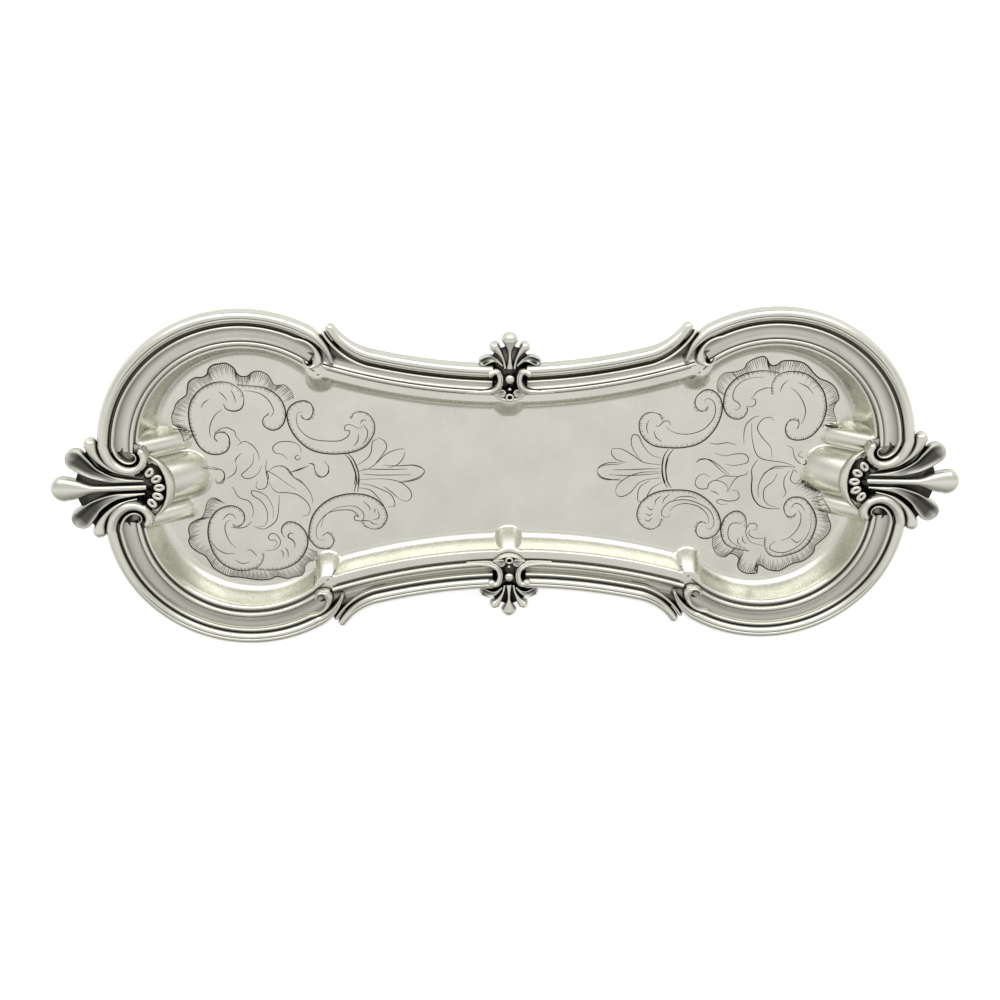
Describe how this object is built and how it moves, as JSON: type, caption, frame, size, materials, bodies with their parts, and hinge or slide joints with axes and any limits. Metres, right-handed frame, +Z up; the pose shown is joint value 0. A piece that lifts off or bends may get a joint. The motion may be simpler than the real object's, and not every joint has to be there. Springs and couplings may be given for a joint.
{
  "type": "pen tray",
  "caption": "Shallow silver desk tray with a waisted outline, fluted wall and cast scroll and palmette mounts, for pens and small things",
  "frame": {"origin": "the middle of the flat underside that the tray rests on", "axes": "+X along the tray to one end palmette, +Y across it to one side palmette, +Z up"},
  "size_m": [0.2538, 0.0994, 0.0153],
  "materials": {
    "sheet_silver": "polished, with fine wear",
    "cast_silver": "polished, dark in its recesses"
  },
  "bodies": {
    "root": {"tray_dish": "sheet_silver", "lobe_scroll_right_back": "cast_silver", "lobe_scroll_right_front": "cast_silver", "lobe_scroll_left_back": "cast_silver", "lobe_scroll_left_front": "cast_silver", "waist_scroll_right_back": "cast_silver", "waist_scroll_right_front": "cast_silver", "waist_scroll_left_back": "cast_silver", "waist_scroll_left_front": "cast_silver", "end_palmette_right": "cast_silver", "end_palmette_left": "cast_silver", "side_palmette_back": "cast_silver", "side_palmette_front": "cast_silver"}
  },
  "joints": []
}
